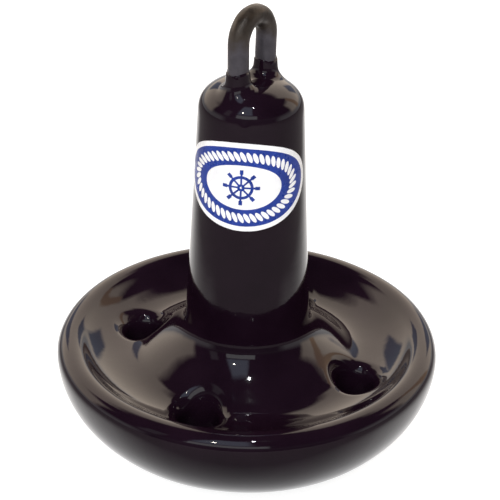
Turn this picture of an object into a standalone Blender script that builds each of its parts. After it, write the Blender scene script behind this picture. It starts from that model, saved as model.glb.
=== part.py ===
"""Mushroom boat anchor: an iron casting with a cast-in steel eye, dipped in black vinyl, with an oval label.

Metres, +Z up. The foot stands on z = 0, the shank is centred on the Z axis and the label faces -Y.
"""

import math

import bmesh
import bpy
from mathutils import Matrix, Vector

# Outside of the coated anchor
BOWL_RADIUS = 0.0900
FOOT_RADIUS = 0.0327
BOWL_SIDE_HEIGHT = 0.0462
LIP_RADIUS = 0.0070
TROUGH_RADIUS = 0.0570
TROUGH_DEPTH_Z = 0.0415
TROUGH_BEND = 0.0144
ROOT_Z = 0.0646
APRON = ((0.0133, 35.9), (0.0239, 11.6), (0.0600, 6.4))
APRON_SLOPE = 33.0
SHANK_RADIUS_LOW = 0.0302
SHANK_LOW_Z = 0.0449
SHANK_RADIUS_HIGH = 0.0235
SHANK_HIGH_Z = 0.1692
TOP_FLAT_RADIUS = 0.0059
TOP_Z = 0.1818

# Coat, and the gap that keeps nested pieces apart
COAT = 0.0022
GAP = 0.0003

# Drain holes, measured in the finished coat
HOLE_RADIUS = 0.0093
HOLE_RING = 0.0548
HOLE_COUNT = 4
HOLE_ANGLE = math.radians(-22.5)
HOLE_MOUTH = 0.0020
HOLE_CHAMFER = 0.0020

# Steel eye: a bent rod whose ends are hooked outwards inside the casting
ROD_RADIUS = 0.00476
EYE_BEND = 0.0103
EYE_TOP_Z = 0.2160
EYE_ANGLE = math.radians(55)
HOOK_BEND = 0.0075
HOOK_LENGTH = 0.0030
HOOK_Z = 0.1370
SLEEVE_TOP_Z = 0.1894
SLEEVE_RADIUS = 0.0059
SLEEVE_FLARE = 0.0070
SLEEVE_FLARE_Z = 0.1840

# Label
LABEL_WIDTH = 0.0670
LABEL_HEIGHT = 0.0414
LABEL_FILM = 0.0004
LABEL_Z = 0.1415
LABEL_ANGLE = math.radians(-97.8)
LABEL_TILT = math.radians(-2.2)

STEPS = 48
SMALL_STEPS = 20
APRON_POINTS = 2


def clear_scene():
    for obj in list(bpy.data.objects):
        bpy.data.objects.remove(obj, do_unlink=True)


def material(name, colour, roughness, metallic):
    made = bpy.data.materials.new(name)
    made.use_nodes = True
    shader = made.node_tree.nodes["Principled BSDF"]
    shader.inputs["Base Color"].default_value = (*colour, 1.0)
    shader.inputs["Roughness"].default_value = roughness
    shader.inputs["Metallic"].default_value = metallic
    made.diffuse_color = (*colour, 1.0)
    return made


def add_mesh(name, mesh):
    obj = bpy.data.objects.new(name, mesh)
    bpy.context.scene.collection.objects.link(obj)
    return obj


def hide(obj):
    obj.hide_render = True
    obj.display_type = "WIRE"
    return obj


def arc(centre, radii, start, end, count):
    """Points (r, z) on an ellipse from one angle to another, in degrees, both ends included."""
    points = []
    for i in range(count + 1):
        angle = math.radians(start + (end - start) * i / count)
        r = centre[0] + radii[0] * math.cos(angle)
        z = centre[1] + radii[1] * math.sin(angle)
        points.append(Vector((r, z)))
    return points


def shank_radius(z):
    taper = (SHANK_RADIUS_HIGH - SHANK_RADIUS_LOW) / (SHANK_HIGH_Z - SHANK_LOW_Z)
    return SHANK_RADIUS_LOW + taper * (z - SHANK_LOW_Z)


def apron():
    """Points of the bends that lead from the shank out to the sloping floor of the cup."""
    point = Vector((shank_radius(ROOT_Z), ROOT_Z))
    heading = math.atan2(SHANK_LOW_Z - SHANK_HIGH_Z, SHANK_RADIUS_LOW - SHANK_RADIUS_HIGH)
    points = [point]
    for radius, degrees in APRON:
        centre = point + Vector((-math.sin(heading), math.cos(heading))) * radius
        start = math.degrees(heading) - 90
        bend = arc(centre, (radius, radius), start, start + degrees, APRON_POINTS)
        points += bend[1:]
        point = bend[-1]
        heading += math.radians(degrees)
    return points


def outside():
    """The anchor's outline from the axis on top, down the outside, to the axis underneath."""
    shoulder = (SHANK_RADIUS_HIGH - TOP_FLAT_RADIUS, TOP_Z - SHANK_HIGH_Z)
    lip_r = BOWL_RADIUS - LIP_RADIUS
    gap = lip_r - TROUGH_RADIUS
    rise = BOWL_SIDE_HEIGHT - TROUGH_DEPTH_Z
    wall = (gap**2 + rise**2 - LIP_RADIUS**2) / (2 * (LIP_RADIUS + rise))
    slope = math.degrees(math.atan2(rise - wall, gap))
    side = (BOWL_RADIUS - FOOT_RADIUS, BOWL_SIDE_HEIGHT)
    points = [Vector((0.0, TOP_Z))]
    points += arc((TOP_FLAT_RADIUS, SHANK_HIGH_Z), shoulder, 90, 0, 6)
    points += apron()
    bend = (TROUGH_BEND, TROUGH_BEND)
    points += arc((TROUGH_RADIUS, TROUGH_DEPTH_Z + TROUGH_BEND), bend, 270 - APRON_SLOPE, 270, 2)
    points += arc((TROUGH_RADIUS, TROUGH_DEPTH_Z + wall), (wall, wall), 270, 360 + slope, 4)[1:]
    lip = (LIP_RADIUS, LIP_RADIUS)
    points += arc((lip_r, BOWL_SIDE_HEIGHT), lip, 180 + slope, 0, 6)[1:]
    points += arc((FOOT_RADIUS, BOWL_SIDE_HEIGHT), side, 0, -90, 9)[1:]
    points.append(Vector((0.0, 0.0)))
    return points


def inset(points, distance):
    """The outline moved inwards by a distance, with its two ends kept on the axis."""
    moved = []
    for i, point in enumerate(points):
        before = points[max(i - 1, 0)]
        after = points[min(i + 1, len(points) - 1)]
        along = (after - before).normalized()
        moved.append(point + Vector((along.y, -along.x)) * distance)
    moved[0] = Vector((0.0, points[0].y - distance))
    moved[-1] = Vector((0.0, points[-1].y + distance))
    return moved


def revolve(name, points, steps):
    """An object whose Screw modifier turns an outline of (r, z) points about Z."""
    mesh = bpy.data.meshes.new(name)
    edges = [(i, i + 1) for i in range(len(points) - 1)]
    mesh.from_pydata([(p[0], 0.0, p[1]) for p in points], edges, [])
    obj = add_mesh(name, mesh)
    screw = obj.modifiers.new("turn", "SCREW")
    screw.steps = steps
    screw.render_steps = steps
    screw.use_merge_vertices = True
    screw.merge_threshold = 0.00001
    screw.use_smooth_shade = True
    return obj


def boolean(obj, other, operation):
    modifier = obj.modifiers.new(other.name, "BOOLEAN")
    modifier.operation = operation
    modifier.solver = "EXACT"
    modifier.object = other


def around(angle, radius):
    return Vector((math.cos(angle) * radius, math.sin(angle) * radius, 0.0))


def hole_outline(radius, mouth):
    """Outline of one drain-hole cutter, with a rounded mouth at its upper end when mouth isn't 0."""
    top = BOWL_SIDE_HEIGHT + 2 * LIP_RADIUS
    if not mouth:
        return [(0.0, top), (radius, top), (radius, -0.01), (0.0, -0.01)]
    round_end = arc((radius + mouth, TROUGH_DEPTH_Z - mouth), (mouth, mouth), 110, 180, 4)
    edge = round_end[0] + Vector((HOLE_CHAMFER, HOLE_CHAMFER))
    points = [(0.0, top), (edge.x, top), tuple(edge)]
    points += [tuple(p) for p in round_end]
    points += [(radius, -0.01), (0.0, -0.01)]
    return points


def hole_cutters(kind, radius, mouth):
    cutters = []
    for i in range(HOLE_COUNT):
        cutter = hide(revolve(f"{kind}_{i + 1}", hole_outline(radius, mouth), SMALL_STEPS))
        angle = HOLE_ANGLE + i * 2 * math.pi / HOLE_COUNT
        cutter.location = around(angle, HOLE_RING)
        cutters.append(cutter)
    return cutters


def rod_path():
    """Points of the eye's centre line: hook, leg, bend, leg, hook, in the XZ plane."""
    bend_z = EYE_TOP_Z - ROD_RADIUS - EYE_BEND
    hook_x = EYE_BEND + HOOK_BEND
    half = [Vector((hook_x + HOOK_LENGTH, HOOK_Z))]
    half += arc((hook_x, HOOK_Z + HOOK_BEND), (HOOK_BEND, HOOK_BEND), -90, -180, 6)
    bend = arc((0.0, bend_z), (EYE_BEND, EYE_BEND), 0, 180, 16)
    other = [Vector((-p.x, p.y)) for p in reversed(half)]
    return half + bend + other


def rod(name, radius, extra):
    """A round rod along the eye's path, longer at both ends by extra."""
    path = rod_path()
    path[0] += Vector((extra, 0.0))
    path[-1] -= Vector((extra, 0.0))
    curve = bpy.data.curves.new(name, "CURVE")
    curve.dimensions = "3D"
    curve.bevel_depth = radius
    curve.bevel_resolution = 4
    curve.use_fill_caps = True
    spline = curve.splines.new("POLY")
    spline.points.add(len(path) - 1)
    for point, at in zip(spline.points, path):
        point.co = (at.x, 0.0, at.y, 1.0)
    guide = bpy.data.objects.new(name + "_guide", curve)
    mesh = bpy.data.meshes.new_from_object(guide)
    bpy.data.objects.remove(guide)
    mesh.name = name
    edit = bmesh.new()
    edit.from_mesh(mesh)
    bmesh.ops.remove_doubles(edit, verts=edit.verts, dist=0.000001)
    bmesh.ops.recalc_face_normals(edit, faces=edit.faces)
    edit.to_mesh(mesh)
    edit.free()
    obj = add_mesh(name, mesh)
    obj.rotation_euler.z = EYE_ANGLE
    return obj


def sleeve(name):
    """The coat's collar round one leg of the eye, flared where it leaves the shoulder."""
    edge = 0.0006
    low = TOP_Z - 0.0120
    points = [Vector((0.0, SLEEVE_TOP_Z))]
    points += arc((SLEEVE_RADIUS - edge, SLEEVE_TOP_Z - edge), (edge, edge), 90, 0, 3)
    flare_centre = (SLEEVE_RADIUS + SLEEVE_FLARE, SLEEVE_FLARE_Z)
    points += arc(flare_centre, (SLEEVE_FLARE, SLEEVE_FLARE), 180, 240, 4)
    points.append(Vector((points[-1].x, low)))
    points.append(Vector((0.0, low)))
    return hide(revolve(name, points, SMALL_STEPS))


def bore(name):
    top = SLEEVE_TOP_Z + 0.01
    low = TOP_Z - 0.01
    radius = ROD_RADIUS + GAP
    points = [(0.0, top), (radius, top), (radius, low), (0.0, low)]
    return hide(revolve(name, points, SMALL_STEPS))


def legs(make, name):
    made = []
    for i, angle in enumerate((EYE_ANGLE, EYE_ANGLE + math.pi)):
        obj = make(f"{name}_{i + 1}")
        obj.location = around(angle, EYE_BEND)
        made.append(obj)
    return made


def label_mesh():
    """An oval of rings wrapped on the shank's taper, one film thick and a gap off the coat."""
    rings, sectors = 8, 48
    edit = bmesh.new()
    for layer in (GAP, GAP + LABEL_FILM):
        edit.verts.new(on_shank(0.0, 0.0, layer))
        for ring in range(1, rings + 1):
            for sector in range(sectors):
                angle = 2 * math.pi * sector / sectors
                across = LABEL_WIDTH / 2 * ring / rings * math.cos(angle)
                up = LABEL_HEIGHT / 2 * ring / rings * math.sin(angle)
                edit.verts.new(on_shank(across, up, layer))
    edit.verts.ensure_lookup_table()
    layer_size = 1 + rings * sectors
    for layer in range(2):
        start = layer * layer_size
        for sector in range(sectors):
            after = (sector + 1) % sectors
            add_face(edit, start, (0, 1 + sector, 1 + after))
            for ring in range(rings - 1):
                inner = 1 + ring * sectors
                outer = inner + sectors
                face = (inner + sector, outer + sector, outer + after, inner + after)
                add_face(edit, start, face)
    rim = 1 + (rings - 1) * sectors
    for sector in range(sectors):
        after = rim + (sector + 1) % sectors
        here = rim + sector
        add_face(edit, 0, (here, after, layer_size + after, layer_size + here))
    bmesh.ops.recalc_face_normals(edit, faces=edit.faces)
    mesh = bpy.data.meshes.new("label_film")
    edit.to_mesh(mesh)
    edit.free()
    return mesh


def add_face(edit, start, corners):
    edit.faces.new([edit.verts[start + corner] for corner in corners])


def on_shank(across, up, height):
    """A point of the label: across and up from its middle, at a height off the coat."""
    turned = Matrix.Rotation(LABEL_TILT, 2) @ Vector((across, up))
    z = LABEL_Z + turned.y
    radius = shank_radius(z)
    angle = LABEL_ANGLE + turned.x / radius
    return around(angle, radius + height) + Vector((0.0, 0.0, z))


def shade(obj, degrees):
    obj.data.polygons.foreach_set("use_smooth", [True] * len(obj.data.polygons))
    for polygon in obj.data.polygons:
        polygon.use_smooth = True
    bpy.context.view_layer.objects.active = obj
    obj.select_set(True)
    bpy.ops.object.shade_smooth_by_angle(angle=math.radians(degrees))
    obj.select_set(False)


def build_casting():
    obj = revolve("iron_casting", inset(outside(), COAT + GAP), STEPS)
    for cutter in hole_cutters("casting_hole", HOLE_RADIUS + COAT + GAP, 0.0):
        boolean(obj, cutter, "DIFFERENCE")
    boolean(obj, hide(rod("eye_pocket", ROD_RADIUS + GAP, GAP)), "DIFFERENCE")
    obj.data.materials.append(material("cast_iron", (0.12, 0.115, 0.11), 0.75, 0.8))


def build_eye():
    obj = rod("eye_rod", ROD_RADIUS, 0.0)
    obj.data.materials.append(material("black_oxide_steel", (0.06, 0.05, 0.045), 0.5, 0.7))
    shade(obj, 40)


def build_coat():
    cavity = hide(revolve("coat_cavity", inset(outside(), COAT), STEPS))
    for cutter in hole_cutters("cavity_hole", HOLE_RADIUS + COAT, 0.0):
        boolean(cavity, cutter, "DIFFERENCE")
    for cutter in legs(bore, "leg_bore"):
        boolean(cavity, cutter, "UNION")
    obj = revolve("vinyl_coating", outside(), STEPS)
    for collar in legs(sleeve, "sleeve"):
        boolean(obj, collar, "UNION")
    for cutter in hole_cutters("coat_hole", HOLE_RADIUS, HOLE_MOUTH):
        boolean(obj, cutter, "DIFFERENCE")
    boolean(obj, cavity, "DIFFERENCE")
    obj.data.materials.append(material("black_vinyl", (0.008, 0.007, 0.009), 0.08, 0.0))


def build_label():
    obj = add_mesh("label_film", label_mesh())
    obj.data.materials.append(material("printed_film", (0.75, 0.78, 0.85), 0.25, 0.0))
    shade(obj, 40)


clear_scene()
build_casting()
build_eye()
build_coat()
build_label()
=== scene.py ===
"""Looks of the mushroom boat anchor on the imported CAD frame: dipped vinyl coat, eye rod and printed label.

Shapes are in millimetres here, and mesh_object turns them into metres. The label faces -Y.
"""

import math

import bpy
import numpy as np
from mathutils import Matrix, Vector


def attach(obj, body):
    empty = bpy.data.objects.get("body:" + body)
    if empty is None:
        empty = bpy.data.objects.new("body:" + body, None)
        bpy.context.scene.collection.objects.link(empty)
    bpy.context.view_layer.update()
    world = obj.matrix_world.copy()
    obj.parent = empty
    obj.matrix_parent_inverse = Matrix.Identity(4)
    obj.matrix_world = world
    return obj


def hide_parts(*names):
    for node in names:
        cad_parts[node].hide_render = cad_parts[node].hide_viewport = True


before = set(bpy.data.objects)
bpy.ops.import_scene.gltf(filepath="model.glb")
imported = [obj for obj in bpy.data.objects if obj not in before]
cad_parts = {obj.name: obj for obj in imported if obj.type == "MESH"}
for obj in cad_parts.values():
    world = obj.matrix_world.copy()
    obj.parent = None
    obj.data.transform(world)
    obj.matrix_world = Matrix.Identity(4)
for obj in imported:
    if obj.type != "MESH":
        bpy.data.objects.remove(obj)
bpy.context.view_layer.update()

# Shape of the coat, in millimetres
CUP_R = 89.85
FOOT_R = 32.7
SIDE_Z = 46.2
LIP_R = 7.0
TROUGH_X = 57.0
TROUGH_Z = 41.5
ROOT_Z = 64.6
APRON = [(13.3, 35.9), (23.9, 11.6), (60.0, 6.4)]
APRON_SLOPE = 33.0
FLOOR_R = 14.4
SHANK_LOW = (30.2, 44.9)
SHANK_HIGH = (23.5, 169.2)
TOP_FLAT = 5.9
TOP_Z = 181.8
SMOOTHING = 1.6
HOLE_RING = 54.8
HOLE_R = 9.0
HOLE_LIP = 6.5
HOLE_LIP_UNDER = 4.0
HOLE_LIP_RISE = (12.0, 24.0)
HOLE_TURN = math.radians(-22.5)
WAVE = 0.22
WAVE_STARTS = (2.0, 9.0)

# Eye rod and the coat's collars on it
ROD_R = 4.76
BEND_R = 10.3
EYE_TOP = 216.0
EYE_TURN = math.radians(55)
HOOK_R = 7.5
HOOK_END = 3.0
HOOK_Z = 137.0
SKIN_ALLOWANCE = 0.12
DIP_Z = 189.0
COLLAR_TOP_R = 5.15
COLLAR_TAPER = 0.085
COLLAR_FILLET = 4.0
COLLAR_EDGE = 0.3
COLLAR_LOW_Z = 172.0

# Label
LABEL_W = 67.0
LABEL_H = 41.4
LABEL_Z = 141.5
LABEL_TURN = math.radians(-97.8)
LABEL_TILT = math.radians(-1.2)
BORDER = 2.3
PICTURE = (17.9, 10.4)
PICTURE_SHIFT = -0.4
STRANDS = 46
SHEET_LIFT = 0.16
BAND_LIFT = 0.19
WHEEL_LIFT = 0.24
ROPE_LIFT = 0.25

# Small runs in the coat: (degrees round the shank, height, radius, how far it stands out)
RUNS = [(-97, 169.0, 1.2, 0.45), (-98, 165.5, 1.0, 0.35), (-92, 116.0, 1.8, 0.5), (-91, 111.5, 1.3, 0.4)]

CELL = 1.25
BOX_LOW = (-92.5, -92.5, -2.5)
BOX_HIGH = (92.5, 92.5, 194.0)

# The painted pool of light on the table, in metres: its front edge, its sides, and how they spread with
# depth
PAINTED_POOL_FRONT = (-0.12, -0.064)
PAINTED_POOL_SIDE = (0.14, 0.24)
PAINTED_POOL_SPREAD = 0.2

# Camera
CAMERA_DISTANCE = 0.720
CAMERA_ELEVATION = 29.2
CAMERA_ROLL = 1.066
CAMERA_LENS = 112.6
CAMERA_SHIFT = 0.0028
CAMERA_TARGET_Z = 0.0969


def arc(cx, cz, rx, rz, start, end, step=0.4):
    """Points on an ellipse from one angle to another, in degrees, about a step apart."""
    span = math.radians(abs(end - start)) * max(rx, rz)
    t = np.radians(np.linspace(start, end, max(int(span / step), 3)))
    return np.stack([cx + rx * np.cos(t), cz + rz * np.sin(t)], axis=1)


def line(a, b, step=0.5):
    count = max(int(math.dist(a, b) / step), 2)
    return np.linspace(a, b, count)[1:-1]


def shank_radius(z):
    slope = (SHANK_HIGH[0] - SHANK_LOW[0]) / (SHANK_HIGH[1] - SHANK_LOW[1])
    return SHANK_LOW[0] + slope * (z - SHANK_LOW[1])


def bent(start, heading, bends):
    """Points along a path of (radius, degrees) bends; for no degrees, a straight that long."""
    point, angle, pieces = np.array(start, float), math.radians(heading), []
    for size, degrees in bends:
        turn = math.radians(degrees)
        if not degrees:
            end = point + size * np.array([math.cos(angle), math.sin(angle)])
            pieces.append(line(point, end))
            point = end
            continue
        side = math.copysign(1, turn)
        centre = point + side * size * np.array([-math.sin(angle), math.cos(angle)])
        t = angle + np.linspace(0, turn, max(int(abs(turn) * size / 0.4), 4))
        arc_points = centre + side * size * np.stack([np.sin(t), -np.cos(t)], axis=1)
        pieces.append(arc_points[1:])
        point, angle = arc_points[-1], angle + turn
    return np.concatenate(pieces)


def coat_outline():
    """(r, z) points down the outside of the coat, from above the top to below the foot on the axis."""
    lip_x = CUP_R - LIP_R
    gap = lip_x - TROUGH_X
    rise = SIDE_Z - TROUGH_Z
    trough_r = (gap**2 + rise**2 - LIP_R**2) / (2 * (LIP_R + rise))
    slope = math.degrees(math.atan2(rise - trough_r, gap))
    shoulder = arc(TOP_FLAT, SHANK_HIGH[1], SHANK_HIGH[0] - TOP_FLAT, TOP_Z - SHANK_HIGH[1], 90, 0)
    taper = math.degrees(math.atan2(SHANK_LOW[1] - SHANK_HIGH[1], SHANK_LOW[0] - SHANK_HIGH[0]))
    root = (shank_radius(ROOT_Z), ROOT_Z)
    apron = bent(root, taper, APRON)
    floor_bend = bent(apron[-1], -APRON_SLOPE, [(FLOOR_R, APRON_SLOPE)])
    floor_bend += (TROUGH_X, TROUGH_Z) - floor_bend[-1]
    trough = arc(TROUGH_X, TROUGH_Z + trough_r, trough_r, trough_r, 270, 360 + slope)
    lip = arc(lip_x, SIDE_Z, LIP_R, LIP_R, 180 + slope, 0)
    side = arc(FOOT_R, SIDE_Z, CUP_R - FOOT_R, SIDE_Z, 0, -90)
    parts = [line((-3, TOP_Z), (TOP_FLAT, TOP_Z)), shoulder, line(shoulder[-1], root), apron]
    parts += [line(apron[-1], floor_bend[0]), floor_bend, trough[1:]]
    parts += [lip[1:], side[1:], line(side[-1], (-3, 0))]
    return smoothed(even(np.concatenate(parts)))


def even(points, step=0.35):
    """The same outline with points an equal step apart."""
    along = np.concatenate([[0], np.cumsum(np.hypot(*np.diff(points, axis=0).T))])
    at = np.linspace(0, along[-1], int(along[-1] / step))
    return np.stack([np.interp(at, along, points[:, i]) for i in (0, 1)], axis=1)


def smoothed(points, step=0.35):
    """The outline blurred along its length, so that its curvature changes gently."""
    reach = int(3 * SMOOTHING / step)
    kernel = np.exp(-0.5 * (np.arange(-reach, reach + 1) * step / SMOOTHING) ** 2)
    kernel /= kernel.sum()
    padded = np.pad(points, ((reach, reach), (0, 0)), mode="edge")
    blurred = [np.convolve(padded[:, i], kernel, mode="valid") for i in (0, 1)]
    result = np.stack(blurred, axis=1)
    result[:reach] = points[:reach]
    result[-reach:] = points[-reach:]
    return result


class Revolved:
    """Signed distance to the turned outline, from a table over r and z."""

    def __init__(self, outline, step=0.4):
        self.step = step
        self.low = np.array([-2.0, -6.0])
        r = np.arange(self.low[0], 98.0, step)
        z = np.arange(self.low[1], 196.0, step)
        grid = np.stack(np.meshgrid(r, z, indexing="ij"), axis=-1).reshape(-1, 2)
        table = np.concatenate([self.exact(part, outline) for part in np.array_split(grid, 60)])
        self.table = table.reshape(len(r), len(z)).astype(np.float64)

    @staticmethod
    def exact(points, outline):
        a = outline[:-1]
        d = outline[1:] - a
        rel = points[:, None, :] - a[None]
        t = np.clip((rel * d).sum(-1) / (d * d).sum(-1), 0, 1)
        gap = rel - t[..., None] * d
        squared = (gap * gap).sum(-1)
        best = squared.argmin(1)
        rows = np.arange(len(points))
        side = d[best, 0] * gap[rows, best, 1] - d[best, 1] * gap[rows, best, 0]
        return np.sign(side) * np.sqrt(squared[rows, best])

    def cubic(self, r, z):
        """Catmull-Rom interpolation of the table."""
        rows, cols = self.table.shape
        u = np.clip((r - self.low[0]) / self.step, 1, rows - 3)
        v = np.clip((z - self.low[1]) / self.step, 1, cols - 3)
        i = np.clip(u.astype(int), 1, rows - 3)
        j = np.clip(v.astype(int), 1, cols - 3)
        wu, wv = weights(u - i), weights(v - j)
        total = 0.0
        for a in range(4):
            across = sum(wv[b] * self.table[i + a - 1, j + b - 1] for b in range(4))
            total = total + wu[a] * across
        return total


def weights(t):
    t2, t3 = t * t, t * t * t
    return (
        -0.5 * t3 + t2 - 0.5 * t,
        1.5 * t3 - 2.5 * t2 + 1,
        -1.5 * t3 + 2 * t2 + 0.5 * t,
        0.5 * t3 - 0.5 * t2,
    )


def round_union(a, b, radius):
    u = np.maximum(radius - a, 0)
    v = np.maximum(radius - b, 0)
    return np.maximum(radius, np.minimum(a, b)) - np.sqrt(u * u + v * v)


def round_cut(a, b, radius):
    """What is inside both a and b, with the edge between them rounded."""
    u = np.maximum(radius + a, 0)
    v = np.maximum(radius + b, 0)
    return np.minimum(-radius, np.maximum(a, b)) + np.sqrt(u * u + v * v)


def waves(x, y, z):
    """Gentle unevenness of a dipped skin, from 0 to 1."""
    first = np.sin(x / 9.1 + 1.3 * np.sin(y / 17.0 + 0.4) + z / 23.0)
    second = np.sin(y / 10.3 + 1.1 * np.sin(x / 14.0 + 2.1) - z / 19.0 + 1.7)
    third = np.sin((x + y) / 6.3 + np.sin(z / 8.0) + 0.8)
    return 0.5 + 0.2 * first + 0.2 * second + 0.1 * third


def smooth_step(value, low, high):
    t = np.clip((value - low) / (high - low), 0, 1)
    return t * t * (3 - 2 * t)


def coat(points, body):
    """Signed distance to the finished coat at an array of points."""
    x, y, z = points.T
    r = np.hypot(x, y)
    field = body.cubic(r, z)
    above_foot = smooth_step(z, *WAVE_STARTS)
    field = field + WAVE * waves(x, y, z) * above_foot
    for side in (0, math.pi):
        cx = BEND_R * math.cos(EYE_TURN + side)
        cy = BEND_R * math.sin(EYE_TURN + side)
        width = COLLAR_TOP_R + COLLAR_TAPER * np.maximum(DIP_Z - z, 0)
        leg = np.hypot(x - cx, y - cy) - width
        top = z - DIP_Z - 0.5 * np.sin(np.arctan2(y - cy, x - cx) * 2 + side)
        leg = round_cut(leg, top, COLLAR_EDGE)
        leg = np.maximum(leg, COLLAR_LOW_Z - z)
        field = round_union(field, leg, COLLAR_FILLET)
    for degrees, height, radius, rise in RUNS:
        cx = shank_radius(height) * math.cos(math.radians(degrees))
        cy = shank_radius(height) * math.sin(math.radians(degrees))
        squared = (x - cx) ** 2 + (y - cy) ** 2 + (z - height) ** 2
        field = field - rise * np.exp(-0.5 * squared / radius**2)
    lip = HOLE_LIP_UNDER + (HOLE_LIP - HOLE_LIP_UNDER) * smooth_step(z, *HOLE_LIP_RISE)
    for i in range(4):
        angle = HOLE_TURN + i * math.pi / 2
        cx, cy = HOLE_RING * math.cos(angle), HOLE_RING * math.sin(angle)
        away = np.hypot(x - cx, y - cy)
        near = away < HOLE_R + 20
        field[near] = round_cut(field[near], HOLE_R - away[near], lip[near])
    return field


def gradient(points, body, reach=0.5):
    result = np.empty_like(points)
    for axis in range(3):
        step = np.zeros(3)
        step[axis] = reach
        result[:, axis] = (coat(points + step, body) - coat(points - step, body)) / (2 * reach)
    return result


def settle(points, body, rounds=4):
    """Points moved onto the coat's surface."""
    for _ in range(rounds):
        slope = gradient(points, body)
        points = points - slope * (coat(points, body) / (slope * slope).sum(1))[:, None]
    return points


def surface_net(values, low, step):
    """Vertices and quads of the surface where a grid of values changes sign."""
    inside = values < 0
    corners = [(i, j, k) for i in (0, 1) for j in (0, 1) for k in (0, 1)]
    size = np.array(values.shape) - 1
    count = np.zeros(size, np.int8)
    for i, j, k in corners:
        count += inside[i : i + size[0], j : j + size[1], k : k + size[2]]
    cells = np.argwhere((count > 0) & (count < 8))
    number = np.full(size, -1, np.int32)
    number[tuple(cells.T)] = np.arange(len(cells))
    total = np.zeros((len(cells), 3))
    hits = np.zeros(len(cells))
    for corner in corners:
        for axis in range(3):
            if corner[axis]:
                continue
            a = cells + corner
            b = a.copy()
            b[:, axis] += 1
            va, vb = values[tuple(a.T)], values[tuple(b.T)]
            crossed = (va < 0) != (vb < 0)
            share = va[crossed] / (va[crossed] - vb[crossed])
            at = a[crossed].astype(float)
            at[:, axis] += share
            total[crossed] += at
            hits[crossed] += 1
    points = total / hits[:, None] * step + low
    quads = []
    for axis in range(3):
        ahead = [slice(None)] * 3
        behind = [slice(None)] * 3
        ahead[axis] = slice(1, None)
        behind[axis] = slice(None, -1)
        change = inside[tuple(behind)].astype(np.int8) - inside[tuple(ahead)].astype(np.int8)
        edges = np.argwhere(change != 0)
        first, second = (axis + 1) % 3, (axis + 2) % 3
        fine = (edges[:, first] > 0) & (edges[:, second] > 0)
        fine &= (edges[:, first] < size[first]) & (edges[:, second] < size[second])
        edges = edges[fine]
        outward = change[tuple(edges.T)] > 0
        ring = []
        for back_first, back_second in ((1, 1), (0, 1), (0, 0), (1, 0)):
            cell = edges.copy()
            cell[:, first] -= back_first
            cell[:, second] -= back_second
            ring.append(number[tuple(cell.T)])
        quad = np.stack(ring, axis=1)
        quad[~outward] = quad[~outward][:, ::-1]
        quads.append(quad)
    return points, np.concatenate(quads)


def coat_grid(body):
    low = np.array(BOX_LOW)
    shape = np.ceil((np.array(BOX_HIGH) - low) / CELL).astype(int) + 1
    values = np.empty(shape)
    xs, ys, zs = (low[axis] + CELL * np.arange(shape[axis]) for axis in range(3))
    y, z = np.meshgrid(ys, zs, indexing="ij")
    for i in range(shape[0]):
        x = np.full(y.size, xs[i])
        slab = np.stack([x, y.ravel(), z.ravel()], axis=1)
        values[i] = coat(slab, body).reshape(y.shape)
    return values, low


def mesh_object(name, points, faces, normals=None):
    """An object from arrays in millimetres."""
    mesh = bpy.data.meshes.new(name)
    mesh.from_pydata((np.asarray(points) * 0.001).tolist(), [], faces)
    mesh.polygons.foreach_set("use_smooth", np.ones(len(mesh.polygons), bool))
    if normals is not None:
        mesh.normals_split_custom_set_from_vertices(normals.tolist())
    mesh.update()
    obj = bpy.data.objects.new(name, mesh)
    bpy.context.scene.collection.objects.link(obj)
    return obj


def build_coat(body):
    values, low = coat_grid(body)
    points, quads = surface_net(values, low, CELL)
    points = settle(points, body)
    slope = gradient(points, body)
    slope /= np.linalg.norm(slope, axis=1)[:, None]
    return mesh_object("coat_skin", points, quads.tolist(), slope)


def rod_centre_line():
    bend_z = EYE_TOP - ROD_R - BEND_R
    hook_x = BEND_R + HOOK_R
    hook = arc(hook_x, HOOK_Z + HOOK_R, HOOK_R, HOOK_R, -90, -180, 1.0)
    start = line((hook_x + HOOK_END + 1, HOOK_Z), hook[0], 1.0)
    leg = line(hook[-1], (BEND_R, bend_z), 1.0)
    bend = arc(0, bend_z, BEND_R, BEND_R, 0, 180, 0.7)
    half = np.concatenate([start, hook, leg])
    mirrored = half[::-1] * (-1, 1)
    return np.concatenate([half, bend, mirrored])


def build_rod():
    """The bent bar, swept round its centre line, with a slightly uneven, hammered skin."""
    path = rod_centre_line()
    along = np.gradient(path, axis=0)
    along /= np.linalg.norm(along, axis=1)[:, None]
    sectors = 40
    rings = []
    turn = np.array([math.cos(EYE_TURN), math.sin(EYE_TURN)])
    for i, (centre, way) in enumerate(zip(path, along)):
        t = 2 * np.pi * np.arange(sectors) / sectors
        dent = 0.10 * np.sin(3 * t + i * 0.21) * np.sin(i * 0.13 + 0.5) + 0.05 * np.sin(5 * t - i * 0.37)
        radius = ROD_R - SKIN_ALLOWANCE + dent
        in_plane = np.stack([-way[1] * np.cos(t), way[0] * np.cos(t)], axis=1) * radius[:, None]
        across = np.sin(t) * radius
        x = centre[0] + in_plane[:, 0]
        ring = [x * turn[0] - across * turn[1], x * turn[1] + across * turn[0], centre[1] + in_plane[:, 1]]
        rings.append(np.stack(ring, axis=1))
    points = np.concatenate(rings)
    faces = []
    for i in range(len(path) - 1):
        for j in range(sectors):
            k = (j + 1) % sectors
            a, b = i * sectors, (i + 1) * sectors
            faces.append((a + j, b + j, b + k, a + k))
    last = (len(path) - 1) * sectors
    faces.append(tuple(range(sectors)))
    faces.append(tuple(last + j for j in reversed(range(sectors))))
    return mesh_object("eye_bar", points, faces)


# Label

def on_shank(across, up):
    """Points on the nominal shank for label coordinates, before they are settled on the coat."""
    c, s = math.cos(LABEL_TILT), math.sin(LABEL_TILT)
    u = across * c - up * s
    v = across * s + up * c
    z = LABEL_Z + v
    radius = shank_radius(z)
    angle = LABEL_TURN + u / radius
    return np.stack([radius * np.cos(angle), radius * np.sin(angle), z], axis=-1)


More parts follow.
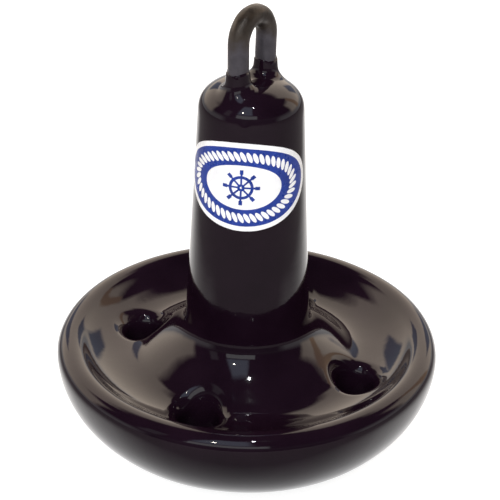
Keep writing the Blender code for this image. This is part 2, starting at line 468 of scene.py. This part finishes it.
def laid(name, across, up, faces, height, body):
    """A patch of film laid on the coat at a height above it."""
    points = settle(on_shank(np.asarray(across, float), np.asarray(up, float)), body, 3)
    slope = gradient(points, body)
    slope /= np.linalg.norm(slope, axis=1)[:, None]
    return mesh_object(name, points + slope * height, faces, slope)


def ring_patch(name, inner, outer, height, body, sectors=160, rings=10):
    """An oval ring between two (half width, half height) pairs."""
    t = 2 * np.pi * np.arange(sectors) / sectors
    across, up = [], []
    for i in range(rings + 1):
        share = i / rings
        a = inner[0] + (outer[0] - inner[0]) * share
        b = inner[1] + (outer[1] - inner[1]) * share
        across.append(a * np.cos(t))
        up.append(b * np.sin(t))
    faces = []
    for i in range(rings):
        for j in range(sectors):
            k = (j + 1) % sectors
            a, b = i * sectors, (i + 1) * sectors
            faces.append((a + j, b + j, b + k, a + k))
    return laid(name, np.concatenate(across), np.concatenate(up), faces, height, body)


def build_label(body):
    half = (LABEL_W / 2, LABEL_H / 2)
    band_out = (half[0] - BORDER, half[1] - BORDER)
    sheet = ring_patch("label_sheet", (0.3, 0.2), half, SHEET_LIFT, body, rings=24)
    band = ring_patch("label_band", PICTURE, band_out, BAND_LIFT, body)
    return sheet, band, rope_marks(body, PICTURE, band_out), wheel(body)


def rope_marks(body, inner, outer):
    """Slanted rope strands along the middle of the blue band."""
    across, up, faces = [], [], []
    a = (inner[0] + outer[0]) / 2
    b = (inner[1] + outer[1]) / 2
    fine = np.linspace(0, 2 * np.pi, 2000)
    steps = np.hypot(np.diff(a * np.cos(fine)), np.diff(b * np.sin(fine)))
    length = np.concatenate([[0], np.cumsum(steps)])
    for i in range(STRANDS):
        t = np.interp(length[-1] * (i + 0.5) / STRANDS, length, fine)
        centre = np.array([a * math.cos(t), b * math.sin(t)])
        way = np.array([-a * math.sin(t), b * math.cos(t)])
        way /= np.linalg.norm(way)
        out = np.array([way[1], -way[0]])
        first = len(across)
        across.append(centre[0])
        up.append(centre[1])
        for j in range(12):
            s = 2 * np.pi * j / 12
            p = 1.15 * math.cos(s)
            q = 2.3 * math.sin(s)
            spot = centre + way * (p + 0.45 * q) + out * q
            across.append(spot[0])
            up.append(spot[1])
            faces.append((first, first + 1 + (j + 1) % 12, first + 1 + j))
    return laid("label_rope", across, up, faces, ROPE_LIFT, body)


def wheel(body):
    """A ship's wheel: a rim, a hub and eight handled spokes."""
    across, up, faces = [], [], []

    def ring(inner, outer, sectors=64):
        first = len(across)
        for radius in (inner, outer):
            for j in range(sectors):
                t = 2 * np.pi * j / sectors
                across.append(radius * math.cos(t) + PICTURE_SHIFT)
                up.append(radius * math.sin(t))
        for j in range(sectors):
            k = (j + 1) % sectors
            faces.append((first + j, first + sectors + j, first + sectors + k, first + k))

    ring(4.2, 5.5)
    ring(0.5, 1.7, 24)
    for i in range(8):
        t = math.pi * i / 4
        way = np.array([math.cos(t), math.sin(t)])
        side = np.array([-way[1], way[0]])
        for start, end, wide in ((1.6, 4.3, 0.42), (5.4, 6.3, 0.45), (6.2, 8.3, 0.8)):
            first = len(across)
            for radius, sign in ((start, -1), (end, -1), (end, 1), (start, 1)):
                spot = way * radius + side * sign * wide
                across.append(spot[0] + PICTURE_SHIFT)
                up.append(spot[1])
            faces.append((first, first + 1, first + 2, first + 3))
    return laid("label_wheel", across, up, faces, WHEEL_LIFT, body)


# Materials

def new_material(name, colour, roughness, metallic=0.0, ior=1.5):
    made = bpy.data.materials.new(name)
    made.use_nodes = True
    shader = made.node_tree.nodes["Principled BSDF"]
    shader.inputs["Base Color"].default_value = (*colour, 1.0)
    shader.inputs["Roughness"].default_value = roughness
    shader.inputs["Metallic"].default_value = metallic
    shader.inputs["IOR"].default_value = ior
    return made


def noise(tree, scale, detail=3.0, rough=0.5, stretch=(1, 1, 1)):
    """A noise texture over object coordinates, in metres."""
    coords = tree.nodes.new("ShaderNodeTexCoord")
    mapping = tree.nodes.new("ShaderNodeMapping")
    mapping.inputs["Scale"].default_value = stretch
    texture = tree.nodes.new("ShaderNodeTexNoise")
    texture.inputs["Scale"].default_value = scale
    texture.inputs["Detail"].default_value = detail
    texture.inputs["Roughness"].default_value = rough
    tree.links.new(coords.outputs["Object"], mapping.inputs["Vector"])
    tree.links.new(mapping.outputs["Vector"], texture.inputs["Vector"])
    return texture.outputs["Fac"]


def ramp(tree, source, low, high, start=0.35, end=0.65):
    node = tree.nodes.new("ShaderNodeMapRange")
    node.inputs["From Min"].default_value = start
    node.inputs["From Max"].default_value = end
    node.inputs["To Min"].default_value = low
    node.inputs["To Max"].default_value = high
    tree.links.new(source, node.inputs["Value"])
    return node.outputs["Result"]


def colour_ramp(tree, source, stops):
    node = tree.nodes.new("ShaderNodeValToRGB")
    elements = node.color_ramp.elements
    while len(elements) < len(stops):
        elements.new(0.5)
    for element, (at, colour) in zip(elements, stops):
        element.position = at
        element.color = (*colour, 1.0)
    tree.links.new(source, node.inputs["Fac"])
    return node.outputs["Color"]


def bump(tree, layers):
    """Bump nodes one after another, from (height, strength, distance) layers."""
    shader = tree.nodes["Principled BSDF"]
    before = None
    for height, strength, distance in layers:
        node = tree.nodes.new("ShaderNodeBump")
        node.inputs["Strength"].default_value = strength
        node.inputs["Distance"].default_value = distance
        tree.links.new(height, node.inputs["Height"])
        if before:
            tree.links.new(before, node.inputs["Normal"])
        before = node.outputs["Normal"]
    tree.links.new(before, shader.inputs["Normal"])


def vinyl_material():
    made = new_material("vinyl_gloss", (0.0066, 0.0026, 0.0058), 0.05, ior=1.36)
    tree = made.node_tree
    shader = tree.nodes["Principled BSDF"]
    stops = [(0.3, (0.0055, 0.0020, 0.0048)), (0.7, (0.0082, 0.0033, 0.0072))]
    tone = colour_ramp(tree, noise(tree, 60), stops)
    tree.links.new(tone, shader.inputs["Base Color"])
    tree.links.new(ramp(tree, noise(tree, 90, 4), 0.03, 0.085), shader.inputs["Roughness"])
    bump(tree, [(noise(tree, 420, 2), 0.10, 0.00012), (noise(tree, 70, 2), 0.25, 0.0003)])
    return made


def bar_material():
    made = new_material("bar_scale_and_painted_sheen", (0.034, 0.031, 0.034), 0.42, 0.5)
    tree = made.node_tree
    shader = tree.nodes["Principled BSDF"]
    coords = tree.nodes.new("ShaderNodeTexCoord")
    split = tree.nodes.new("ShaderNodeSeparateXYZ")
    tree.links.new(coords.outputs["Object"], split.inputs["Vector"])
    mottle = calculate(tree, "MULTIPLY", noise(tree, 160, 5, 0.6), 0.5)
    # Painted light in the colour: the legs get a lighter bluish grey standing in for a sheen, and the top of
    # the bend gets a darker brown that is partly rust tint and partly painted shade.
    high = ramp(tree, split.outputs["Z"], 0, 0.5, 0.196, 0.213)
    stops = [(0.10, (0.045, 0.042, 0.050)), (0.30, (0.086, 0.080, 0.091)), (0.50, (0.055, 0.044, 0.036))]
    stops += [(0.75, (0.022, 0.016, 0.012)), (0.90, (0.040, 0.027, 0.018))]
    shade = colour_ramp(tree, calculate(tree, "ADD", mottle, high), stops)
    tree.links.new(shade, shader.inputs["Base Color"])
    tree.links.new(ramp(tree, noise(tree, 300, 4), 0.30, 0.5), shader.inputs["Roughness"])
    bump(tree, [(noise(tree, 900, 5, 0.65), 0.5, 0.00025), (noise(tree, 180, 3), 0.5, 0.0005)])
    return made


def film_material(name, low, high):
    made = new_material(name, high, 0.28)
    tree = made.node_tree
    shader = tree.nodes["Principled BSDF"]
    tone = colour_ramp(tree, noise(tree, 140, 4), [(0.25, low), (0.6, high)])
    tree.links.new(tone, shader.inputs["Base Color"])
    tree.links.new(ramp(tree, noise(tree, 220, 3), 0.22, 0.38), shader.inputs["Roughness"])
    bump(tree, [(noise(tree, 600, 2), 0.08, 0.0001)])
    return made


def iron_material():
    made = new_material("iron_cast", (0.10, 0.095, 0.09), 0.75, 0.7)
    tree = made.node_tree
    shader = tree.nodes["Principled BSDF"]
    tree.links.new(ramp(tree, noise(tree, 200, 4), 0.6, 0.9), shader.inputs["Roughness"])
    bump(tree, [(noise(tree, 700, 5, 0.7), 0.6, 0.0005)])
    return made


def paint(obj, made):
    obj.data.materials.clear()
    obj.data.materials.append(made)


# Stage

def direction(azimuth, elevation):
    """Unit vector towards a place round the object; azimuth 0 is the camera's side, 90 is its right."""
    a, e = math.radians(azimuth), math.radians(elevation)
    return Vector((math.sin(a) * math.cos(e), -math.cos(a) * math.cos(e), math.sin(e)))


def area_light(name, azimuth, elevation, distance, width, height, power, colour, glossy):
    data = bpy.data.lights.new(name, "AREA")
    data.shape = "RECTANGLE"
    data.size = width
    data.size_y = height
    data.energy = power
    data.color = colour
    obj = bpy.data.objects.new(name, data)
    bpy.context.scene.collection.objects.link(obj)
    target = Vector((0, 0, 0.08))
    obj.location = target + direction(azimuth, elevation) * distance
    obj.rotation_euler = (obj.location - target).to_track_quat("Z", "Y").to_euler()
    obj.visible_glossy = glossy
    return obj


def build_stage():
    """A mid-grey table with a painted pool of light round the object and behind it: there the table glows
    and its colour is paler, and it is darker towards the front and the sides.
    """
    corners = [(-4000, -4000, 0), (4000, -4000, 0), (4000, 4000, 0), (-4000, 4000, 0)]
    table = mesh_object("floor", corners, [(0, 1, 2, 3)])
    made = new_material("table_painted_pool", (0.45, 0.45, 0.45), 0.9)
    tree = made.node_tree
    shader = tree.nodes["Principled BSDF"]
    coords = tree.nodes.new("ShaderNodeTexCoord")
    split = tree.nodes.new("ShaderNodeSeparateXYZ")
    tree.links.new(coords.outputs["Object"], split.inputs["Vector"])
    # Mask of the painted pool of light: 1 round the object and behind it, falling to 0 towards the front and
    # the sides.
    depth = ramp(tree, split.outputs["Y"], 0, 1, *PAINTED_POOL_FRONT)
    aside = calculate(tree, "ABSOLUTE", split.outputs["X"])
    spread = calculate(tree, "MULTIPLY", split.outputs["Y"], PAINTED_POOL_SPREAD)
    flank = calculate(tree, "SUBTRACT", aside, spread)
    painted_pool = calculate(tree, "MULTIPLY", depth, ramp(tree, flank, 1, 0, *PAINTED_POOL_SIDE))
    grain = calculate(tree, "MULTIPLY", noise(tree, 3, 2), 0.04)
    # Painted light: the table's colour is paler inside the pool and darker outside it, and inside the pool
    # the table glows.
    stops = [(0.0, (0.22, 0.21, 0.22)), (1.0, (0.46, 0.46, 0.46))]
    shade = colour_ramp(tree, calculate(tree, "ADD", painted_pool, grain), stops)
    tree.links.new(shade, shader.inputs["Base Color"])
    tree.links.new(ramp(tree, painted_pool, 0.07, 0.80, 0, 1), shader.inputs["Emission Strength"])
    shader.inputs["Specular IOR Level"].default_value = 0.0
    shader.inputs["Emission Color"].default_value = (1, 1, 1, 1)
    paint(table, made)


def calculate(tree, operation, first, second=None):
    node = tree.nodes.new("ShaderNodeMath")
    node.operation = operation
    for socket, value in zip(node.inputs, (first, second)):
        if isinstance(value, (int, float)):
            socket.default_value = value
        elif value is not None:
            tree.links.new(value, socket)
    return node.outputs["Value"]


def between(tree, value, low, high, soft):
    """1 where a value in degrees is between two others, falling to 0 over a soft edge."""
    rise = ramp(tree, value, 0, 1, low - soft, low + soft)
    fall = ramp(tree, value, 1, 0, high - soft, high + soft)
    return calculate(tree, "MULTIPLY", rise, fall)


# What surrounds the table: azimuths from and to, elevations from and to, soft edge, colour.
# Azimuth 0 is behind the camera, and a panel that ends at 180 or -180 wraps past it.
ROOM = [
    (-180, 180, -90, 14, 6, (0.95, 0.95, 0.95)),
    (-60, 60, -90, 20, 8, (0.10, 0.10, 0.11)),
    (126, 180, 8, 53, 4, (2.45, 2.10, 1.74)),
    (-180, -122, 8, 53, 4, (2.45, 2.10, 1.74)),
    (98, 180, 8, 38, 4, (2.45, 2.10, 1.74)),
    (-180, -94, 8, 38, 4, (2.45, 2.10, 1.74)),
    (146, 160, 9, 26, 1.5, (0.50, 0.58, 0.72)),
    (-164, -150, 12, 30, 1.5, (0.50, 0.58, 0.72)),
    (118, 127, 6, 40, 1.5, (1.60, 1.10, 0.70)),
    (-34, 14, 22, 36, 1.0, (1.9, 2.0, 2.0)),
    (-34, 4, 39, 72, 3.0, (1.20, 1.45, 1.80)),
    (-64, -50, 22, 44, 2.0, (0.45, 0.45, 0.47)),
]


def build_world():
    world = bpy.data.worlds.new("studio")
    bpy.context.scene.world = world
    world.use_nodes = True
    tree = world.node_tree
    tree.nodes.clear()
    out = tree.nodes.new("ShaderNodeOutputWorld")
    back = tree.nodes.new("ShaderNodeBackground")
    coords = tree.nodes.new("ShaderNodeTexCoord")
    split = tree.nodes.new("ShaderNodeSeparateXYZ")
    tree.links.new(coords.outputs["Generated"], split.inputs["Vector"])
    x, y, z = split.outputs
    azimuth = calculate(tree, "ARCTAN2", x, calculate(tree, "MULTIPLY", y, -1.0))
    azimuth = calculate(tree, "MULTIPLY", azimuth, math.degrees(1))
    elevation = calculate(tree, "MULTIPLY", calculate(tree, "ARCSINE", z), math.degrees(1))
    colour = (0.05, 0.042, 0.055)
    for az_from, az_to, el_from, el_to, soft, panel in ROOM:
        if az_from == -180 and az_to == 180:
            inside = between(tree, elevation, el_from, el_to, soft)
        else:
            low = az_from - 20 if az_from == -180 else az_from
            high = az_to + 20 if az_to == 180 else az_to
            across = between(tree, azimuth, low, high, soft)
            inside = calculate(tree, "MULTIPLY", across, between(tree, elevation, el_from, el_to, soft))
        mix = tree.nodes.new("ShaderNodeMix")
        mix.data_type = "RGBA"
        tree.links.new(inside, mix.inputs["Factor"])
        if isinstance(colour, tuple):
            mix.inputs[6].default_value = (*colour, 1)
        else:
            tree.links.new(colour, mix.inputs[6])
        mix.inputs[7].default_value = (*panel, 1)
        colour = mix.outputs[2]
    tree.links.new(colour, back.inputs["Color"])
    tree.links.new(back.outputs["Background"], out.inputs["Surface"])


def build_lights():
    area_light("front_fill", -5, 36, 1.5, 1.2, 0.8, 22, (1, 1, 1), False)
    area_light("back_fill", 180, 50, 1.6, 1.6, 1.2, 14, (1, 0.97, 0.94), False)
    area_light("bulb_left", -22, 50, 1.6, 0.035, 0.035, 2.0, (1, 0.93, 0.80), True)
    area_light("bulb_right", 10, 72, 1.6, 0.035, 0.035, 2.5, (0.95, 0.98, 1), True)


def build_camera():
    target = Vector((0, 0, CAMERA_TARGET_Z))
    data = bpy.data.cameras.new("camera")
    data.lens = CAMERA_LENS
    data.sensor_width = 36.0
    data.shift_x = CAMERA_SHIFT
    obj = bpy.data.objects.new("camera", data)
    bpy.context.scene.collection.objects.link(obj)
    obj.location = target + direction(0, CAMERA_ELEVATION) * CAMERA_DISTANCE
    look = (obj.location - target).to_track_quat("Z", "Y").to_matrix().to_4x4()
    roll = Matrix.Rotation(math.radians(CAMERA_ROLL), 4, "Z")
    obj.matrix_world = Matrix.Translation(obj.location) @ look @ roll
    bpy.context.scene.camera = obj


body = Revolved(coat_outline())
skin = build_coat(body)
bar = build_rod()
sheet, band, rope, wheel_mark = build_label(body)

vinyl = vinyl_material()
film = film_material("film_white", (0.80, 0.80, 0.81), (0.90, 0.90, 0.90))
ink = film_material("film_blue", (0.008, 0.028, 0.20), (0.012, 0.042, 0.28))
paint(skin, vinyl)
paint(bar, bar_material())
paint(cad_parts["iron_casting"], iron_material())
for piece in (sheet, rope):
    paint(piece, film)
for piece in (band, wheel_mark):
    paint(piece, ink)

pieces = {
    "black_vinyl": [skin],
    "black_oxide_steel": [bar],
    "printed_film": [sheet, band, rope, wheel_mark],
}
for slot, members in pieces.items():
    for piece in members:
        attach(piece, "root")
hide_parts("vinyl_coating")
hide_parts("eye_rod")
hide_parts("label_film")

build_stage()
build_world()
build_lights()
build_camera()
bpy.context.scene.view_settings.view_transform = "Standard"
